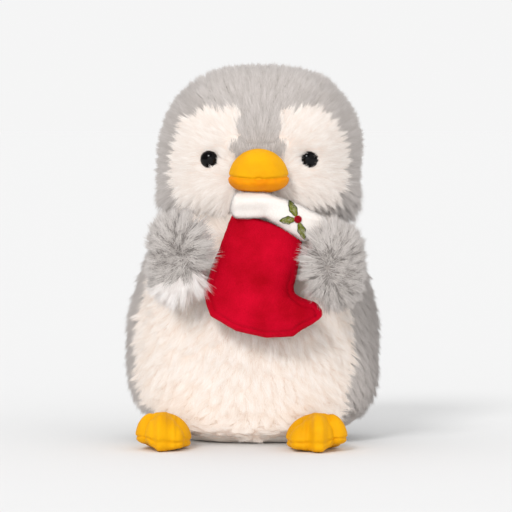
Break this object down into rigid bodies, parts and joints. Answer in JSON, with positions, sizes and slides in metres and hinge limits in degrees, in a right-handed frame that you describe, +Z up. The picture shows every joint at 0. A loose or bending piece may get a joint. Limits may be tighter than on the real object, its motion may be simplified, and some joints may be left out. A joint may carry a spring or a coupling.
{
  "type": "plush penguin holding a padded stocking",
  "caption": "Sitting plush penguin in grey and cream long-pile fur with a yellow-orange beak and feet, holding a small red padded stocking with a white cuff and a holly motif.",
  "frame": {"origin": "Centre of the footprint, on the surface that the toy sits on.", "axes": "+Z is up, the toy faces -Y, and +X is the toy's own left."},
  "size_m": [0.167, 0.1505, 0.2499],
  "materials": {
    "grey_fur": "long faux-fur pile",
    "cream_fur": "long faux-fur pile",
    "pale_fur": "long faux-fur pile",
    "base_cloth": "short nap",
    "filling": "loose fibre",
    "orange_velboa": "short nap",
    "red_velour": "short nap velour",
    "cuff_plush": "short plush",
    "bag_cloth": "plain weave",
    "pellet_plastic": "matte",
    "label_ribbon": "satin ribbon, blank",
    "leaf_thread": "satin stitch",
    "berry_thread": "satin stitch",
    "eye_black": "polished",
    "washer_plastic": "matte"
  },
  "bodies": {
    "torso": {"belly_panel": "cream_fur", "back_panel_left": "grey_fur", "back_panel_right": "grey_fur", "base_panel": "base_cloth", "body_stuffing": "filling", "pellet_bag": "bag_cloth", "pellets": "pellet_plastic", "care_label": "label_ribbon", "stocking_front": "red_velour", "stocking_back": "red_velour", "stocking_stuffing": "filling", "stocking_cuff": "cuff_plush", "holly_leaves": "leaf_thread", "holly_berry": "berry_thread"},
    "neck": {"neck_wad": "filling"},
    "head": {"crown_panel": "grey_fur", "head_side_left": "grey_fur", "head_side_right": "grey_fur", "bridge_panel": "grey_fur", "face_panel_left": "cream_fur", "face_panel_right": "cream_fur", "head_stuffing": "filling", "eye_left": "eye_black", "eye_right": "eye_black", "eye_washer_left": "washer_plastic", "eye_washer_right": "washer_plastic", "beak_upper": "orange_velboa", "beak_lower": "orange_velboa", "beak_stuffing": "filling"},
    "wing_left": {"wing_outer_left": "grey_fur", "wing_inner_left": "pale_fur", "wing_stuffing_left": "filling"},
    "wing_right": {"wing_outer_right": "grey_fur", "wing_inner_right": "pale_fur", "wing_stuffing_right": "filling"},
    "foot_left": {"foot_top_left": "orange_velboa", "foot_sole_left": "orange_velboa", "foot_stuffing_left": "filling"},
    "foot_right": {"foot_top_right": "orange_velboa", "foot_sole_right": "orange_velboa", "foot_stuffing_right": "filling"}
  },
  "joints": [
    {"name": "neck_turn", "type": "hinge", "parent": "torso", "child": "neck", "pos_m": [0.003, 0.0195, 0.15], "axis": [0, 0, 1], "range_deg": [-20, 20], "stiffness_Nm_per_rad": 0.5},
    {"name": "head_nod", "type": "hinge", "parent": "neck", "child": "head", "pos_m": [0.003, 0.0195, 0.15], "axis": [-1, 0, 0], "range_deg": [0, 12], "stiffness_Nm_per_rad": 1.5},
    {"name": "wing_left_swing", "type": "hinge", "parent": "torso", "child": "wing_left", "pos_m": [0.0705, -0.024, 0.118], "axis": [0, 0, 1], "range_deg": [0, 40], "stiffness_Nm_per_rad": 0.15},
    {"name": "wing_right_swing", "type": "hinge", "parent": "torso", "child": "wing_right", "pos_m": [-0.0705, -0.024, 0.124], "axis": [0, 0, -1], "range_deg": [0, 40], "stiffness_Nm_per_rad": 0.15},
    {"name": "foot_left_flex", "type": "hinge", "parent": "torso", "child": "foot_left", "pos_m": [0.036, -0.036, 0.004], "axis": [-0.9781, -0.2079, 0], "range_deg": [0, 18], "stiffness_Nm_per_rad": 0.1},
    {"name": "foot_right_flex", "type": "hinge", "parent": "torso", "child": "foot_right", "pos_m": [-0.05, -0.0315, 0.004], "axis": [-0.9063, 0.4226, 0], "range_deg": [0, 18], "stiffness_Nm_per_rad": 0.1}
  ]
}
